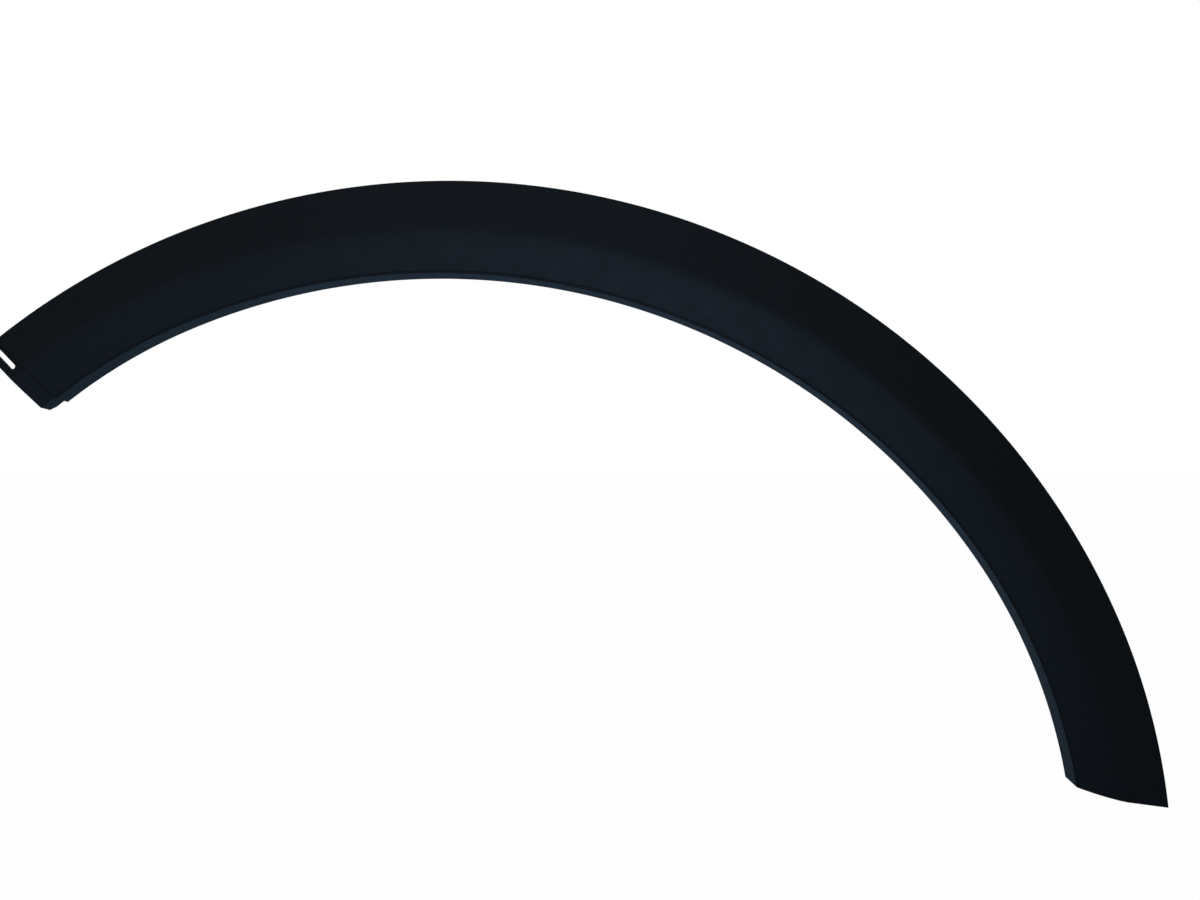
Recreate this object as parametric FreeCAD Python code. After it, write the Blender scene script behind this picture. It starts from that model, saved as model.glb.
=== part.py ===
import FreeCAD, Part
import math
import os

# A wheel-arch trim: one moulded strip that follows a car's wheel opening.
# X runs along the car, Z is up, and the visible face looks towards -Y.
# The origin is on the crown locating pin, where it meets the fender skin.
# Angles round the arch are measured from straight up, positive towards +X.
# A section is drawn with s, the distance inward from the outer rim, and h, the height towards the viewer.

Vector = FreeCAD.Vector

# Face-on arcs: the groove and the flange's rear edge have centres of their own, so the strip tapers.
# The widths of the face and of the lip are those at the crown.
rim_radius = 440.0
face_width = 55.1
lip_width = 2.9
groove_shift_x = -5.8
groove_shift_z = -12.4
flange_shift_x = -5.0
flange_shift_z = -11.9

# The rim draws in towards the lower tip, and the groove and the flange flare inward towards both ends
tip_curl = 1.7
tip_curl_start = 65.0
tip_curl_end = 82.0
left_flare = 2.3
right_flare = 1.85
left_flare_start = -24.0
right_flare_start = 56.0
flare_span = 14.5

# The body side is bowed, so both ends lie further inboard than the middle
bow_drop = 8.0
bow_middle = 21.0
bow_reach = 61.0

# Ends: the angle where each end meets the rim, and how far its edge is turned from the radial line.
# The right end's edge bulges outward, and its face leans back by a draft angle.
left_end_angle = -39.7
left_end_skew = 7.5
right_end_angle = 81.8
right_end_skew = -22.5
right_end_bulge = 1.2
right_end_draft = 5.0

# Visible section
rim_height = 2.6
rim_chamfer = 1.1
outer_tilt = 19.0
crease_radius = 30.0
crease_turn = 13.0
inner_radius = 135.0
inner_turn = 9.0
edge_chamfer = 0.5
edge_heading = -30.0
groove_wall = 0.25
groove_wall_heading = -52.0
groove_floor = 0.4
groove_rise = 0.3
groove_rise_heading = 42.0
lip_crest = 0.6
lip_crest_heading = -12.0
lip_chamfer = 0.6
lip_chamfer_heading = -52.0
flange_reach = 9.0

# Walls
skin_wall = 2.5
flange_wall = 2.3
rim_land = 4.0

# End tongue, stepped back so that the next trim laps over it
tongue_length = 10.5
tongue_step = 2.0
tongue_wall = 2.3
tongue_inset = 2.8
tongue_root = 4.0
tongue_chamfer = 4.0

# Slot through the tongue, parallel to its end edge
slot_width = 3.0
slot_length = 16.0
slot_edge_gap = 6.2
slot_rim_gap = 14.7

# Clip towers on the back
tower_count = 6
tower_first_angle = -30.0
tower_pitch = 20.6
tower_inset = 29.0
tower_length = 22.0
tower_width = 18.0
tower_wall = 1.8
tower_plate = 2.2
tower_slot_width = 8.0

# Gussets that brace the return flange between the towers
gusset_per_bay = 2
gusset_wall = 1.6
gusset_run = 11.0
gusset_drop = 12.0

# Web that closes the channel at the right end
end_web_wall = 2.0
end_web_gap = 0.5
end_web_spread = 14.0

# Locating pins
crown_pin_angle = 0.0
side_pin_angle = 62.7
pin_inset = 22.0
pin_radius = 3.0
pin_reach = 10.0
pin_chamfer = 1.2
pin_boss_radius = 4.6
pin_shoulder_gap = 2.0
pin_web = 1.5
pin_web_reach = 8.5

# Sections that the strip is drawn through, set past both ends so that the ends can be cut
loft_start = -46.0
loft_end = 88.0
loft_steps = 14
tongue_loft_steps = 4
local_loft_steps = 2

# Reach of the cutting and trimming blocks beyond the part
clear = 40.0
cut_reach = 150.0

groove_radius = rim_radius - face_width - groove_shift_z
flange_radius = rim_radius - face_width - lip_width - flange_shift_z
axis_z = pin_inset - rim_radius


def heading_vector(heading):
    """Unit step along a heading in the section, as (s, h)."""
    return math.cos(math.radians(heading)), math.sin(math.radians(heading))


def inward(point, heading, distance):
    """Point moved off the visible contour, into the wall, square to the contour's heading."""
    along_s, along_h = heading_vector(heading)
    return point[0] + distance * along_h, point[1] - distance * along_s


def rim_distance(angle):
    """Distance of the rim from the arch axis at an angle round the arch."""
    share = (angle - tip_curl_start) / (tip_curl_end - tip_curl_start)
    return rim_radius - tip_curl * max(share, 0.0) ** 2


def flare_at(angle):
    """How far the groove and the flange have flared inward at an angle round the arch."""
    left_share = max(left_flare_start - angle, 0.0) / flare_span
    right_share = max(angle - right_flare_start, 0.0) / flare_span
    return left_flare * left_share ** 2 + right_flare * right_share ** 2


def arc_distance(angle, radius, shift_x, shift_z):
    """Distance from the arch axis, along the ray at an angle, to an arc with a centre of its own."""
    sine = math.sin(math.radians(angle))
    cosine = math.cos(math.radians(angle))
    along = shift_x * sine + shift_z * cosine
    across = shift_x * cosine - shift_z * sine
    return along + math.sqrt(radius ** 2 - across ** 2)


def bow_depth(angle):
    """How far inboard the body side lies at an angle, measured from the crown."""
    return bow_drop * ((angle - bow_middle) ** 2 - bow_middle ** 2) / bow_reach ** 2


def place(angle, point):
    """Point of the section at an angle, put into the part's frame."""
    radius = rim_distance(angle) - point[0]
    sine = math.sin(math.radians(angle))
    cosine = math.cos(math.radians(angle))
    return Vector(radius * sine, bow_depth(angle) - point[1], axis_z + radius * cosine)


class Pen:
    """Draws a chain of lines and tangent arcs in the section."""

    def __init__(self, point, heading):
        self.point = point
        self.heading = heading
        self.pieces = []

    def line(self, length, heading=None):
        """Straight run along the heading, or along a new one."""
        if heading is not None:
            self.heading = heading
        step_s, step_h = heading_vector(self.heading)
        end = (self.point[0] + length * step_s, self.point[1] + length * step_h)
        self.pieces.append((self.point, end))
        self.point = end

    def arc(self, radius, turn):
        """Tangent arc, to the left for a positive turn in degrees and to the right for a negative one."""
        side = math.copysign(radius, turn)
        centre = inward(self.point, self.heading, -side)
        middle = inward(centre, self.heading + turn / 2, side)
        end = inward(centre, self.heading + turn, side)
        self.pieces.append((self.point, middle, end))
        self.point = end
        self.heading += turn


class Section:
    """The strip's section at one angle round the arch."""

    def __init__(self, angle):
        self.angle = angle
        inside = rim_distance(angle) + flare_at(angle)
        self.groove_s = inside - arc_distance(angle, groove_radius, groove_shift_x, groove_shift_z)
        flange_s = inside - arc_distance(angle, flange_radius, flange_shift_x, flange_shift_z)
        self.rear = (flange_s, -flange_reach)
        short = self.draw_face(0.0).point[0] + groove_floor / 2
        self.pen = self.draw_face((self.groove_s - short) / heading_vector(outer_tilt)[0])
        self.draw_lip()

    def draw_face(self, outer_run):
        """Rim, outer half, crease, inner half and the way down to the floor of the groove."""
        pen = Pen((0.0, 0.0), 90.0)
        pen.line(rim_height - rim_chamfer)
        pen.line(rim_chamfer, (90.0 + outer_tilt) / 2)
        self.outer_start = pen.point
        pen.line(outer_run, outer_tilt)
        self.crease_start = pen.point
        pen.arc(crease_radius, -crease_turn)
        self.inner_start = pen.point
        self.inner_heading = pen.heading
        pen.arc(inner_radius, -inner_turn)
        pen.line(edge_chamfer, edge_heading)
        pen.line(groove_wall, groove_wall_heading)
        return pen

    def draw_lip(self):
        """Groove floor, way up to the lip, over its crest and down the return flange to its rear edge."""
        pen = self.pen
        pen.line(groove_floor, 0.0)
        pen.line(groove_rise, groove_rise_heading)
        pen.line(lip_crest, lip_crest_heading)
        pen.line(lip_chamfer, lip_chamfer_heading)
        span_s = self.rear[0] - pen.point[0]
        span_h = self.rear[1] - pen.point[1]
        self.wall_heading = math.degrees(math.atan2(span_h, span_s))
        pen.line(math.hypot(span_s, span_h), self.wall_heading)

    def inner_corner(self, depth, wall_depth):
        """Where the inner half, sunk by depth, meets the flange, sunk by wall_depth, and the angle there."""
        centre = inward(self.inner_start, self.inner_heading, inner_radius)
        radius = inner_radius - depth
        start = inward(self.rear, self.wall_heading, wall_depth)
        step_s, step_h = heading_vector(self.wall_heading + 180.0)
        gap_s = start[0] - centre[0]
        gap_h = start[1] - centre[1]
        half = gap_s * step_s + gap_h * step_h
        run = -half + math.sqrt(half ** 2 - gap_s ** 2 - gap_h ** 2 + radius ** 2)
        corner = (start[0] + run * step_s, start[1] + run * step_h)
        heading = math.degrees(math.atan2(centre[0] - corner[0], corner[1] - centre[1]))
        return corner, heading

    def sunk_path(self, depth, wall_depth, start_s):
        """Contour without its groove, sunk into the wall, from start_s to the flange's rear edge."""
        crease_heading = outer_tilt - crease_turn / 2
        line_start = inward(self.outer_start, outer_tilt, depth)
        rise = math.tan(math.radians(outer_tilt))
        first = (start_s, line_start[1] + (start_s - line_start[0]) * rise)
        crease = inward(self.crease_start, outer_tilt, depth)
        crease_centre = inward(self.crease_start, outer_tilt, crease_radius)
        crease_middle = inward(crease_centre, crease_heading, depth - crease_radius)
        inner = inward(self.inner_start, self.inner_heading, depth)
        inner_centre = inward(self.inner_start, self.inner_heading, inner_radius)
        corner, corner_heading = self.inner_corner(depth, wall_depth)
        inner_middle = inward(inner_centre, (self.inner_heading + corner_heading) / 2, depth - inner_radius)
        last = inward(self.rear, self.wall_heading, wall_depth)
        face = [(first, crease), (crease, crease_middle, inner), (inner, inner_middle, corner)]
        return face + [(corner, last)]

    def wire(self, pieces):
        """Closed wire in the part's frame from lines of two points and arcs of three."""
        edges = []
        for piece in pieces:
            points = [place(self.angle, point) for point in piece]
            curve = Part.Arc(*points) if len(points) == 3 else Part.LineSegment(*points)
            edges.append(curve.toShape())
        return Part.Wire(edges)

    def skin_wire(self):
        """Section of the whole strip: visible contour, flange edge, inner contour and the rim's land."""
        inside = backwards(self.sunk_path(skin_wall, flange_wall, rim_land))
        rear_edge = (self.pen.point, inside[0][0])
        step = (inside[-1][-1], (rim_land, 0.0))
        land = (step[1], (0.0, 0.0))
        return self.wire(self.pen.pieces + [rear_edge] + inside + [step, land])

    def tongue_wire(self):
        """Section of the end tongue: the contour stepped back, with a wall of its own."""
        outside = self.sunk_path(tongue_step, tongue_step, tongue_inset)
        depth = tongue_step + tongue_wall
        inside = backwards(self.sunk_path(depth, depth, tongue_inset))
        rear_edge = (outside[-1][-1], inside[0][0])
        rim_edge = (inside[-1][-1], outside[0][0])
        return self.wire(outside + [rear_edge] + inside + [rim_edge])

    def core_wire(self):
        """Section of the room behind the middle of the wall, which trims what stands on the back."""
        roof = self.sunk_path(skin_wall / 2, flange_wall / 2, rim_land)
        flange_foot = roof[-1][-1]
        far_flange = (flange_foot[0], -clear)
        far_rim = (rim_land, -clear)
        back = [(flange_foot, far_flange), (far_flange, far_rim), (far_rim, roof[0][0])]
        return self.wire(roof + back)


def backwards(pieces):
    """The same chain of lines and arcs, run from its end to its start."""
    return [tuple(reversed(piece)) for piece in reversed(pieces)]


def loft(draw, start, end, steps):
    """Solid through sections spread evenly over a range of angles."""
    wires = []
    for index in range(steps + 1):
        angle = start + (end - start) * index / steps
        wires.append(draw(Section(angle)))
    return Part.makeLoft(wires, True, False)


def prism(points, low, high):
    """Face-on outline of (x, z) points, stretched along Y."""
    corners = [Vector(x, low, z) for x, z in points]
    face = Part.Face(Part.makePolygon(corners + corners[:1]))
    return face.extrude(Vector(0.0, high - low, 0.0))


def bulged_prism(points, bulge_point, run, low, high):
    """Outline whose first side is an arc through a further point, stretched from low to high along Y.

    The outline of (x, z) points is the one at Y zero, and the run is the step that gains one along Y.
    """
    corners = [Vector(x, 0.0, z) + run * low for x, z in points]
    middle = Vector(bulge_point[0], 0.0, bulge_point[1]) + run * low
    side = Part.Arc(corners[0], middle, corners[1]).toShape()
    rest = Part.makePolygon(corners[1:] + corners[:1])
    face = Part.Face(Part.Wire([side] + rest.Edges))
    return face.extrude(run * (high - low))


def end_edge(angle, skew):
    """Rim point of an end edge and the edge's direction inward from it, as (x, z) pairs."""
    rim = place(angle, (0.0, 0.0))
    bearing = math.radians(skew - 90.0 - angle)
    return (rim.x, rim.z), (math.cos(bearing), math.sin(bearing))


def left_beyond(setback):
    """All beyond the left end edge, or beyond a line set back from it towards the middle."""
    (rim_x, rim_z), (along_x, along_z) = end_edge(left_end_angle, left_end_skew)

    def spot(run, push):
        """Face-on point a run along the edge from the rim and a push outward from the edge."""
        return rim_x + along_x * run + along_z * push, rim_z + along_z * run - along_x * push

    corners = [spot(-clear, -setback), spot(cut_reach, -setback)]
    corners += [spot(cut_reach, cut_reach), spot(-clear, cut_reach)]
    return prism(corners, -cut_reach, cut_reach)


def right_beyond(setback, high=cut_reach):
    """All beyond the bulged, drafted right end, or beyond a line set back from it, up to high along Y."""
    (rim_x, rim_z), (along_x, along_z) = end_edge(right_end_angle, right_end_skew)
    lean = math.tan(math.radians(right_end_draft))
    drop = right_end_bulge * ((2 * clear / face_width + 1) ** 2 - 1)

    def spot(run, push):
        """Face-on point a run along the edge from the rim and a push outward from the edge."""
        return rim_x + along_x * run - along_z * push, rim_z + along_z * run + along_x * push

    corners = [spot(-clear, -setback - drop), spot(face_width + clear, -setback - drop)]
    corners += [spot(cut_reach, cut_reach), spot(-clear, cut_reach)]
    middle = spot(face_width / 2, right_end_bulge - setback)
    return bulged_prism(corners, middle, Vector(along_z * lean, 1.0, -along_x * lean), -cut_reach, high)


def strip():
    """The moulded strip between the tongue's step and the right end."""
    solid = loft(Section.skin_wire, loft_start, loft_end, loft_steps)
    solid = solid.cut(left_beyond(tongue_length))
    return solid.cut(right_beyond(0.0))


def tongue_slot():
    """Round-ended bar that cuts the tongue's slot."""
    (rim_x, rim_z), (along_x, along_z) = end_edge(left_end_angle, left_end_skew)
    start_x = rim_x - along_z * slot_edge_gap
    start_z = rim_z + along_x * slot_edge_gap
    half = (slot_length - slot_width) / 2
    across_x = -along_z * slot_width / 2
    across_z = along_x * slot_width / 2
    ends = []
    for run in (slot_rim_gap - half, slot_rim_gap + half):
        ends.append((start_x + along_x * run, start_z + along_z * run))
    (near_x, near_z), (far_x, far_z) = ends
    corners = [(near_x + across_x, near_z + across_z), (far_x + across_x, far_z + across_z)]
    corners += [(far_x - across_x, far_z - across_z), (near_x - across_x, near_z - across_z)]
    bar = prism(corners, -clear, clear)
    for x, z in ends:
        bar = bar.fuse(Part.makeCylinder(slot_width / 2, 2 * clear, Vector(x, -clear, z), Vector(0, 1, 0)))
    return bar


def tongue_corner():
    """Wedge that chamfers the corner between the tongue's end and the rear edge of its flange."""
    (rim_x, rim_z), (along_x, along_z) = end_edge(left_end_angle, left_end_skew)
    rear = bow_depth(left_end_angle) + flange_reach
    low = rear - 2 * tongue_chamfer
    high = rear + tongue_chamfer
    corners = []
    for push, height in ((tongue_chamfer, low), (tongue_chamfer, high), (-2 * tongue_chamfer, high)):
        corners.append(Vector(rim_x + along_z * push, height, rim_z - along_x * push))
    face = Part.Face(Part.makePolygon(corners + corners[:1]))
    return face.extrude(Vector(along_x, 0.0, along_z) * cut_reach)


def tongue():
    """Stepped end tongue with its slot; its root laps under the strip."""
    far_angle = left_end_angle + math.degrees((tongue_length + tongue_root + clear) / rim_radius)
    solid = loft(Section.tongue_wire, loft_start, far_angle, tongue_loft_steps)
    solid = solid.cut(left_beyond(0.0))
    solid = solid.common(left_beyond(tongue_length + tongue_root))
    return solid.cut(tongue_slot()).cut(tongue_corner())


def block(angle, inset, size_s, size_t, low, high, shift_t=0.0):
    """Box on the back, square to the section at an angle; low and high are heights along Y there."""
    middle = place(angle, (inset, 0.0))
    outward = Vector(math.sin(math.radians(angle)), 0.0, math.cos(math.radians(angle)))
    along = Vector(math.cos(math.radians(angle)), 0.0, -math.sin(math.radians(angle)))
    corners = []
    for step_s, step_t in ((-0.5, -0.5), (0.5, -0.5), (0.5, 0.5), (-0.5, 0.5)):
        corner = middle + outward * (size_s * step_s) + along * (size_t * step_t + shift_t)
        corners.append(corner + Vector(0.0, low, 0.0))
    face = Part.Face(Part.makePolygon(corners + corners[:1]))
    return face.extrude(Vector(0.0, high - low, 0.0))


def clip_tower(angle):
    """Open-sided tower whose top plate has a U slot for the neck of a push-in clip."""
    tower = block(angle, tower_inset, tower_width, tower_length, -clear, 0.0)
    room = tower_width - 2 * tower_wall
    pocket = block(angle, tower_inset, room, tower_length, -clear, -tower_plate, tower_wall)
    neck = block(angle, tower_inset, tower_slot_width, tower_length, -clear, clear, tower_length / 2)
    middle = place(angle, (tower_inset, 0.0))
    foot = Vector(middle.x, -clear, middle.z)
    neck_end = Part.makeCylinder(tower_slot_width / 2, 2 * clear, foot, Vector(0, 1, 0))
    return tower.cut(pocket).cut(neck.fuse(neck_end))


def gusset(angle):
    """Thin triangular brace in the corner between the face and the return flange."""
    section = Section(angle)
    corner = section.inner_corner(skin_wall, flange_wall)[0]
    top = corner[1] + skin_wall
    outline = [(corner[0] - gusset_run, top), (corner[0] - gusset_run, corner[1]),
               (corner[0], corner[1] - gusset_drop), (corner[0] + flange_wall, corner[1] - gusset_drop),
               (corner[0] + flange_wall, top)]
    along = Vector(math.cos(math.radians(angle)), 0.0, -math.sin(math.radians(angle)))
    points = [place(angle, point) - along * (gusset_wall / 2) for point in outline]
    return Part.Face(Part.makePolygon(points + points[:1])).extrude(along * gusset_wall)


def locating_pin(angle):
    """Round pin with a chamfered tip on a shouldered boss, braced by a cross of two webs."""
    base = place(angle, (pin_inset, 0.0))
    up = Vector(0.0, 1.0, 0.0)
    boss = Part.makeCylinder(pin_boss_radius, clear - pin_shoulder_gap, base - up * clear, up)
    shoulder = base - up * pin_shoulder_gap
    shank_length = pin_shoulder_gap + pin_reach - pin_chamfer
    shank = Part.makeCylinder(pin_radius, shank_length, shoulder, up)
    tip = Part.makeCone(pin_radius, pin_radius - pin_chamfer, pin_chamfer, shoulder + up * shank_length, up)
    web_s = block(angle, pin_inset, 2 * pin_web_reach, pin_web, -clear, -pin_shoulder_gap)
    web_t = block(angle, pin_inset, pin_web, 2 * pin_web_reach, -clear, -pin_shoulder_gap)
    return boss.fuse([shank, tip, web_s, web_t])


def tower_angles():
    """Angles of the clip towers round the arch."""
    return [tower_first_angle + tower_pitch * index for index in range(tower_count)]


def gusset_angles():
    """Angles of the gussets, spread evenly over each bay between two towers."""
    step = tower_pitch / (gusset_per_bay + 1)
    angles = []
    for tower_angle in tower_angles()[:-1]:
        angles += [tower_angle + step * (index + 1) for index in range(gusset_per_bay)]
    return angles


def seated(feature, angle):
    """Feature on the back, trimmed so that its foot stops inside the strip's wall."""
    reach = math.degrees(tower_length / rim_radius)
    return feature.common(loft(Section.core_wire, angle - reach, angle + reach, local_loft_steps))


def end_web():
    """Wall that closes the channel along the right end edge."""
    seat = bow_depth(right_end_angle) - end_web_gap
    web = right_beyond(end_web_wall, seat).cut(right_beyond(0.0))
    room = loft(Section.core_wire, right_end_angle - end_web_spread, loft_end, local_loft_steps)
    return web.common(room)


def back_features():
    """Towers, gussets, pins and the end web, each seated in the strip's wall."""
    features = [seated(clip_tower(angle), angle) for angle in tower_angles()]
    features += [seated(gusset(angle), angle) for angle in gusset_angles()]
    features += [seated(locating_pin(angle), angle) for angle in (crown_pin_angle, side_pin_angle)]
    return features + [end_web()]


def wheel_arch_trim():
    """The whole trim as one moulded solid."""
    solid = strip().fuse([tongue()] + back_features())
    return solid.Solids[0] if len(solid.Solids) == 1 else solid


os.makedirs("parts", exist_ok=True)
trim = wheel_arch_trim()
print("valid", trim.isValid(), "solids", len(trim.Solids), "volume", round(trim.Volume))
trim.exportStep("parts/wheel_arch_trim.step")
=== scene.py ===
"""Wheel-arch trim in black grained plastic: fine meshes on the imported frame, their finish and a studio."""

import logging
import math
from collections.abc import Callable, Sequence
from dataclasses import dataclass, field, replace
from enum import Enum

import bmesh
import bpy
import numpy as np
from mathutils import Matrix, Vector


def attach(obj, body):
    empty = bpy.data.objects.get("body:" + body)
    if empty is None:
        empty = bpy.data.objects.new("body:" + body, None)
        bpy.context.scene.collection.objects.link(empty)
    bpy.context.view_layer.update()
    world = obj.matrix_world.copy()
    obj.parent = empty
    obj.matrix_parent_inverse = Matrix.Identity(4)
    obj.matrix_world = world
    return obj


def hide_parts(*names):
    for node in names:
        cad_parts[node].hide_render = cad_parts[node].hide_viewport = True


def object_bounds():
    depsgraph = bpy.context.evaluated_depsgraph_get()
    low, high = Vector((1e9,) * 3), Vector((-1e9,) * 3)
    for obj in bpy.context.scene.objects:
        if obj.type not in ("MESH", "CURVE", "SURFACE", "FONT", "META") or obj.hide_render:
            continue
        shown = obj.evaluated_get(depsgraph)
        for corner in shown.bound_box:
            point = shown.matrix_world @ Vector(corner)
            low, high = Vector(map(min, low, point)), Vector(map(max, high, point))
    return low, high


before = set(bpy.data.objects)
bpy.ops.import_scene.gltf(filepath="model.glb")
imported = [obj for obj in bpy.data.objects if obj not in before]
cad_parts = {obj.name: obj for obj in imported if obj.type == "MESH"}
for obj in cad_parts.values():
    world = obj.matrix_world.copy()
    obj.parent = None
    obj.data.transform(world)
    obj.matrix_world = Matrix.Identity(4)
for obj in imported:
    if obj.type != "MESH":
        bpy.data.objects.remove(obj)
cad_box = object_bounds()

# Sizes are in millimetres and angles in degrees, measured from straight up, positive towards the long leg.
# A section point is (s, h): s inward from the rim and h towards the viewer.
MM = 0.001
NODE = "wheel_arch_trim"
BODY = "root"

# Sockets of the colour mode of Blender's Mix node, whose names its other modes share.
MIX_UNDER = 6
MIX_OVER = 7
MIX_RESULT = 2

Angles = float | np.ndarray
Point = tuple[float, float]
Place = tuple[float, float, float]
Colour = tuple[float, float, float]
WHITE: Colour = (1.0, 1.0, 1.0)

log = logging.getLogger("wheel_arch_trim")


def opaque(colour: Colour) -> tuple[float, float, float, float]:
    """Colour with full cover, as Blender's sockets take it."""
    return (*colour, 1.0)


def heading_step(heading: float) -> Point:
    """Unit step along a heading in the section."""
    return math.cos(math.radians(heading)), math.sin(math.radians(heading))


def into_wall(point: Point, heading: float, depth: float) -> Point:
    """Move a point off the contour into the wall.

    Args:
        point: Point on the contour.
        heading: Direction in which the contour runs there.
        depth: How far to move, square to the heading.

    Returns:
        The moved point.
    """
    along_s, along_h = heading_step(heading)
    return point[0] + depth * along_h, point[1] - depth * along_s


@dataclass(frozen=True)
class ArchCourse:
    """Lines that the strip follows round the wheel opening."""

    rim_radius: float = 440.0
    face_width: float = 55.1
    lip_width: float = 2.9
    groove_shift: Point = (-5.8, -12.4)
    flange_shift: Point = (-5.0, -11.9)
    tip_curl: float = 1.7
    tip_curl_start: float = 65.0
    tip_curl_end: float = 82.0
    left_flare: float = 2.3
    right_flare: float = 1.85
    left_flare_start: float = -24.0
    right_flare_start: float = 56.0
    flare_span: float = 14.5
    bow_drop: float = 8.0
    bow_middle: float = 21.0
    bow_reach: float = 61.0
    crown_inset: float = 22.0

    @property
    def axis_z(self) -> float:
        """Height of the arch axis."""
        return self.crown_inset - self.rim_radius

    def rim_distance(self, angle: Angles) -> Angles:
        """Distance of the rim from the arch axis."""
        share = np.maximum(angle - self.tip_curl_start, 0.0) / (self.tip_curl_end - self.tip_curl_start)
        return self.rim_radius - self.tip_curl * share ** 2

    def arc_inset(self, angle: Angles, radius: float, shift: Point) -> Angles:
        """Measure how far inside the rim an arc with a centre of its own lies.

        Args:
            angle: Angle round the arch.
            radius: Radius of the arc.
            shift: Place of the arc's centre beside the arch axis.

        Returns:
            Distance from the rim to the arc, along the ray at that angle.
        """
        turn = np.radians(angle)
        along = shift[0] * np.sin(turn) + shift[1] * np.cos(turn)
        across = shift[0] * np.cos(turn) - shift[1] * np.sin(turn)
        return self.rim_distance(angle) - along - np.sqrt(radius ** 2 - across ** 2)

    def flare(self, angle: Angles) -> Angles:
        """Measure how far the groove and the flange have flared inward towards an end.

        Args:
            angle: Angle round the arch.

        Returns:
            The inward distance.
        """
        left_share = np.maximum(self.left_flare_start - angle, 0.0) / self.flare_span
        right_share = np.maximum(angle - self.right_flare_start, 0.0) / self.flare_span
        return self.left_flare * left_share ** 2 + self.right_flare * right_share ** 2

    def groove_inset(self, angle: Angles) -> Angles:
        """Distance from the rim to the middle of the groove."""
        radius = self.rim_radius - self.face_width - self.groove_shift[1]
        return self.arc_inset(angle, radius, self.groove_shift) + self.flare(angle)

    def flange_inset(self, angle: Angles) -> Angles:
        """Distance from the rim to the rear edge of the return flange."""
        radius = self.rim_radius - self.face_width - self.lip_width - self.flange_shift[1]
        return self.arc_inset(angle, radius, self.flange_shift) + self.flare(angle)

    def bow_depth(self, angle: Angles) -> Angles:
        """How far inboard the body side lies, measured from the crown."""
        return self.bow_drop * ((angle - self.bow_middle) ** 2 - self.bow_middle ** 2) / self.bow_reach ** 2

    def face_on(self, angle: Angles, inset: Angles) -> np.ndarray:
        """Find face-on places in millimetres.

        Args:
            angle: Angles round the arch.
            inset: Distances inward from the rim.

        Returns:
            Array whose last axis is x and z.
        """
        radius = self.rim_distance(angle) - inset
        turn = np.radians(angle)
        return np.stack((radius * np.sin(turn), self.axis_z + radius * np.cos(turn)), -1)

    def place(self, angle: Angles, inset: Angles, height: Angles) -> np.ndarray:
        """Put section points into the frame.

        Args:
            angle: Angles round the arch.
            inset: Distances inward from the rim.
            height: Heights towards the viewer.

        Returns:
            Array of places in metres.
        """
        flat = self.face_on(angle, inset)
        depth = self.bow_depth(angle) - height
        return np.stack((flat[..., 0], depth, flat[..., 1]), -1) * MM

    def section_of(self, x: float, z: float) -> Point:
        """Angle round the arch and distance inward from the rim of a face-on place."""
        angle = math.degrees(math.atan2(x, z - self.axis_z))
        return angle, float(self.rim_distance(angle)) - math.hypot(x, z - self.axis_z)


@dataclass(frozen=True)
class CutLine:
    """Line across the strip, turned from the radial line; side is 1 where it looks to the long leg's tip.

    A draft in degrees leans the cut back towards the middle of the strip, the further inboard the more.
    """

    angle: float
    skew: float
    side: float
    bulge: float = 0.0
    draft: float = 0.0
    set_back: float = 0.0
    passes: int = 5

    def back(self, distance: float) -> "CutLine":
        """The same line, moved towards the middle of the strip."""
        return replace(self, set_back=self.set_back + distance)

    def directions(self) -> tuple[np.ndarray, np.ndarray]:
        """Find the line's own directions, face-on.

        Returns:
            Unit vectors inward along the line and outward past the end.
        """
        bearing = math.radians(self.skew - 90.0 - self.angle)
        along = np.array((math.cos(bearing), math.sin(bearing)))
        return along, self.side * np.array((-along[1], along[0]))

    def crossing(self, course: ArchCourse, inset: np.ndarray, height: np.ndarray) -> np.ndarray:
        """Find where the cut crosses lines that run along the strip.

        Args:
            course: Lines of the arch.
            inset: Distance of each line from the rim.
            height: Height of each line towards the viewer.

        Returns:
            Angle of each crossing.
        """
        along, out = self.directions()
        rim = course.face_on(self.angle, 0.0)
        lean = math.tan(math.radians(self.draft))
        angle = np.full_like(inset, self.angle)
        for _ in range(self.passes):
            gap = course.face_on(angle, inset) - rim
            bow = self.bulge * (1.0 - (2.0 * (gap @ along) / course.face_width - 1.0) ** 2)
            depth = course.bow_depth(angle) - height
            past = gap @ out + self.set_back - bow + lean * depth
            turn = np.radians(angle)
            tangent = np.stack((np.cos(turn), -np.sin(turn)), -1)
            angle = angle - np.degrees(past / ((course.rim_radius - inset) * (tangent @ out)))
        return angle


class Pen:
    """Draws a chain of straight runs and tangent arcs in the section, as points."""

    def __init__(self, start: Point, heading: float) -> None:
        """Set the pen down at a point, with a heading."""
        self.points: list[Point] = [start]
        self.heading = heading

    @property
    def tip(self) -> Point:
        """Where the pen stands."""
        return self.points[-1]

    def run(self, length: float, heading: float | None = None, hold: float = 0.0) -> None:
        """Draw a straight run.

        Args:
            length: Length of the run.
            heading: New heading, or None to go straight on.
            hold: Distance from both ends of further points, which keep the shading of the run flat.
        """
        if heading is not None:
            self.heading = heading
        step_s, step_h = heading_step(self.heading)
        start = self.tip
        for distance in ([hold, length - hold] if hold else []) + [length]:
            self.points.append((start[0] + distance * step_s, start[1] + distance * step_h))

    def arc(self, radius: float, turn: float, shares: Sequence[float]) -> None:
        """Draw a tangent arc.

        Args:
            radius: Radius of the arc.
            turn: Angle of the arc, to the left where it is positive.
            shares: Shares of the turn at which points are set.
        """
        side = math.copysign(radius, turn)
        centre = into_wall(self.tip, self.heading, -side)
        self.points += [into_wall(centre, self.heading + turn * share, side) for share in shares]
        self.heading += turn


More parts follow.
